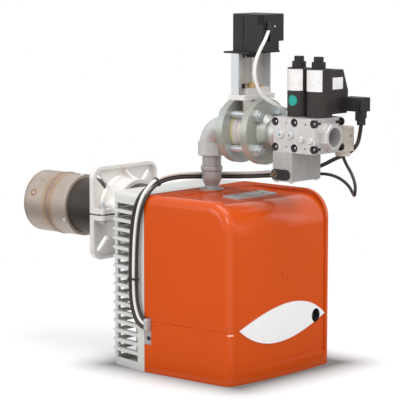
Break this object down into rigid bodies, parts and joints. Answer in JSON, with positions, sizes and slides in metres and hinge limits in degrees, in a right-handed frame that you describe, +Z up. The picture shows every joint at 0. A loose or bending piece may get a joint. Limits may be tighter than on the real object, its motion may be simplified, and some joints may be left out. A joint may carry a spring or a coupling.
{
  "type": "industrial gas burner",
  "caption": "Monobloc gas burner: glossy hooded cover, slatted housing, blast tube with clamp flange, and a gas train with butterfly valve, actuator and solenoid valve block on top.",
  "frame": {"origin": "middle of the burner's foot line, where the cover meets the slatted housing, on the surface it stands on", "axes": "+X to the side away from the cable gland, +Y along the blast tube towards its mouth, +Z up; the cover's front faces -Y"},
  "size_m": [0.2967, 0.726, 0.629],
  "materials": {
    "orange_enamel": "gloss",
    "grey_enamel": "satin",
    "black_tube_paint": "matt",
    "white_trim": "gloss",
    "galvanised_sheet": "galvanised",
    "zinc_plated": "zinc plated",
    "stainless_steel": "brushed",
    "cast_aluminium": "as cast",
    "plate_aluminium": "anodised",
    "brass": "machined",
    "ceramic_white": "plain",
    "black_plastic": "moulded",
    "coil_plastic": "moulded",
    "grey_plastic": "moulded",
    "tan_plastic": "moulded",
    "white_plastic": "moulded",
    "yellow_fibre": "pressed fibre",
    "black_rubber": "sheath",
    "white_rubber": "sheath"
  },
  "bodies": {
    "burner": {"actuator": "black_plastic", "actuator_plate": "black_plastic", "adjuster_plate": "zinc_plated", "air_pressure_switch": "white_plastic", "air_servomotor": "grey_plastic", "badge_plate": "white_trim", "blast_tube": "black_tube_paint", "block_screws": "zinc_plated", "butterfly_body": "cast_aluminium", "cable_bracket": "galvanised_sheet", "cable_gland": "black_rubber", "cable_ties": "white_plastic", "chassis_plate": "galvanised_sheet", "coil_nuts": "black_plastic", "coil_plug": "black_plastic", "control_box": "grey_plastic", "cover": "orange_enamel", "cover_screw": "zinc_plated", "elbow": "zinc_plated", "electrodes": "ceramic_white", "fan_motor": "cast_aluminium", "fan_scroll": "cast_aluminium", "flange_bolts": "zinc_plated", "flange_gaskets": "yellow_fibre", "front_gas_flange": "zinc_plated", "gas_feed_pipe": "zinc_plated", "gas_head": "stainless_steel", "gas_pressure_switch": "tan_plastic", "ignition_transformer": "black_plastic", "main_coil": "coil_plastic", "nipple": "zinc_plated", "nozzle": "stainless_steel", "pilot_block": "cast_aluminium", "plug_cable": "black_rubber", "rating_plate": "plate_aluminium", "rear_gas_flange": "zinc_plated", "reducer": "zinc_plated", "safety_coil": "coil_plastic", "servo_bracket": "galvanised_sheet", "servo_cable": "white_rubber", "slatted_housing": "grey_enamel", "stem_block": "cast_aluminium", "stem_fixings": "brass", "stem_plate": "cast_aluminium", "switch_cable": "black_rubber", "terminal_box": "coil_plastic", "test_plugs": "zinc_plated", "valve_block": "cast_aluminium", "yoke": "zinc_plated"},
    "rotor": {"motor_shaft": "stainless_steel", "fan_wheel": "galvanised_sheet"},
    "shutter": {"air_shutter": "galvanised_sheet"},
    "butterfly": {"butterfly_disc": "stainless_steel", "valve_stem": "stainless_steel"},
    "button": {"reset_button": "white_plastic"},
    "tube_flange": {"boiler_flange_upper": "cast_aluminium", "boiler_flange_lower": "cast_aluminium", "clamp_bolts": "zinc_plated"},
    "flow_adjuster": {"adjuster_screw": "brass"}
  },
  "joints": [
    {"name": "fan_spin", "type": "hinge", "parent": "burner", "child": "rotor", "pos_m": [0, 0, 0.108], "axis": [0, 1, 0], "continuous": true},
    {"name": "shutter_turn", "type": "hinge", "parent": "burner", "child": "shutter", "pos_m": [0, 0, 0.108], "axis": [0, 1, 0], "range_deg": [0, 60]},
    {"name": "butterfly_turn", "type": "hinge", "parent": "burner", "child": "butterfly", "pos_m": [0, -0.126, 0.45], "axis": [0, 0, 1], "range_deg": [0, 90]},
    {"name": "reset_press", "type": "slide", "parent": "burner", "child": "button", "axis": [0, 1, 0], "range_m": [0, 0.003], "stiffness_N_per_m": 400, "springref_m": -0.002},
    {"name": "flange_slide", "type": "slide", "parent": "burner", "child": "tube_flange", "axis": [0, 1, 0], "range_m": [-0.035, 0.085]},
    {"name": "adjuster_turn", "type": "hinge", "parent": "burner", "child": "flow_adjuster", "pos_m": [-0.04, -0.2075, 0.3585], "axis": [1, 0, 0], "range_deg": [-150, 150]}
  ]
}
